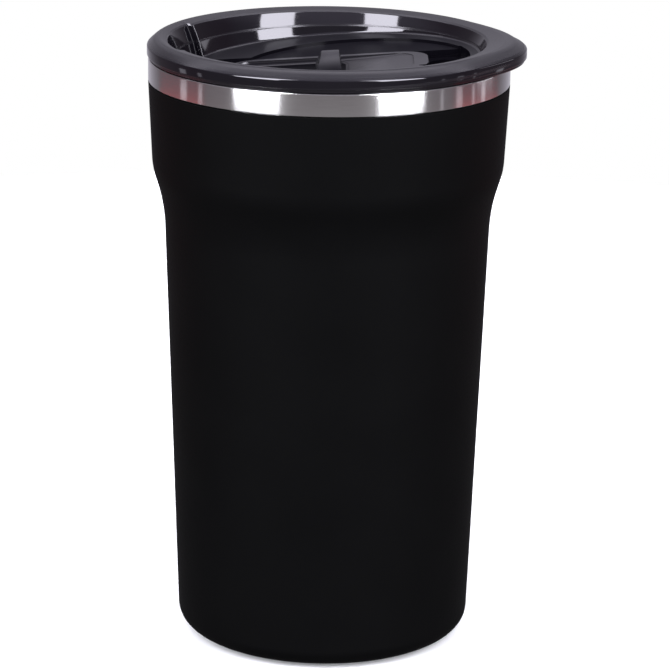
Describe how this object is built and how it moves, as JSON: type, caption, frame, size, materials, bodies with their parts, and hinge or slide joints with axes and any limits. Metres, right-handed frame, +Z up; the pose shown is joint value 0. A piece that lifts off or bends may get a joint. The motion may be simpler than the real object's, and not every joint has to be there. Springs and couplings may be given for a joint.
{
  "type": "insulated tumbler with lid",
  "caption": "Stepped double-walled steel tumbler with a push-in lid, a drinking lip and a slider that opens the drinking hole.",
  "frame": {"origin": "centre of the foot pad's resting face, on the cup's axis", "axes": "+Z up along the cup's axis, +X from the axis to the lid's drinking lip, +Y follows by the right-hand rule"},
  "size_m": [0.0922, 0.0886, 0.1505],
  "materials": {
    "black_coat": "fine matte powder coat",
    "bare_steel": "brushed around the axis",
    "lid_plastic": "smoke black, glossy on the sides and satin on top",
    "silicone": "matte silicone",
    "seal_glass": "fused solder glass",
    "getter_alloy": "sintered powder"
  },
  "bodies": {
    "tumbler": {"outer_shell": "black_coat", "inner_liner": "bare_steel", "outer_base": "bare_steel", "vacuum_seal_bead": "seal_glass", "getter_pellet": "getter_alloy", "getter_clip": "bare_steel", "foot_pad": "silicone"},
    "seal_ring": {"lid_gasket": "silicone"},
    "lid": {"lid_body": "lid_plastic"},
    "slider_unit": {"slider": "lid_plastic", "slider_keeper": "lid_plastic", "slider_seal": "silicone"}
  },
  "joints": [
    {"name": "lid_lift", "type": "slide", "parent": "tumbler", "child": "seal_ring", "axis": [0, 0, 1], "range_m": [0, 0.06]},
    {"name": "lid_turn", "type": "hinge", "parent": "seal_ring", "child": "lid", "pos_m": [0, 0, 0.1395], "axis": [0, 0, 1], "continuous": true},
    {"name": "slider_slide", "type": "slide", "parent": "lid", "child": "slider_unit", "axis": [0.9974, 0, 0.0718], "range_m": [0, 0.01]}
  ]
}
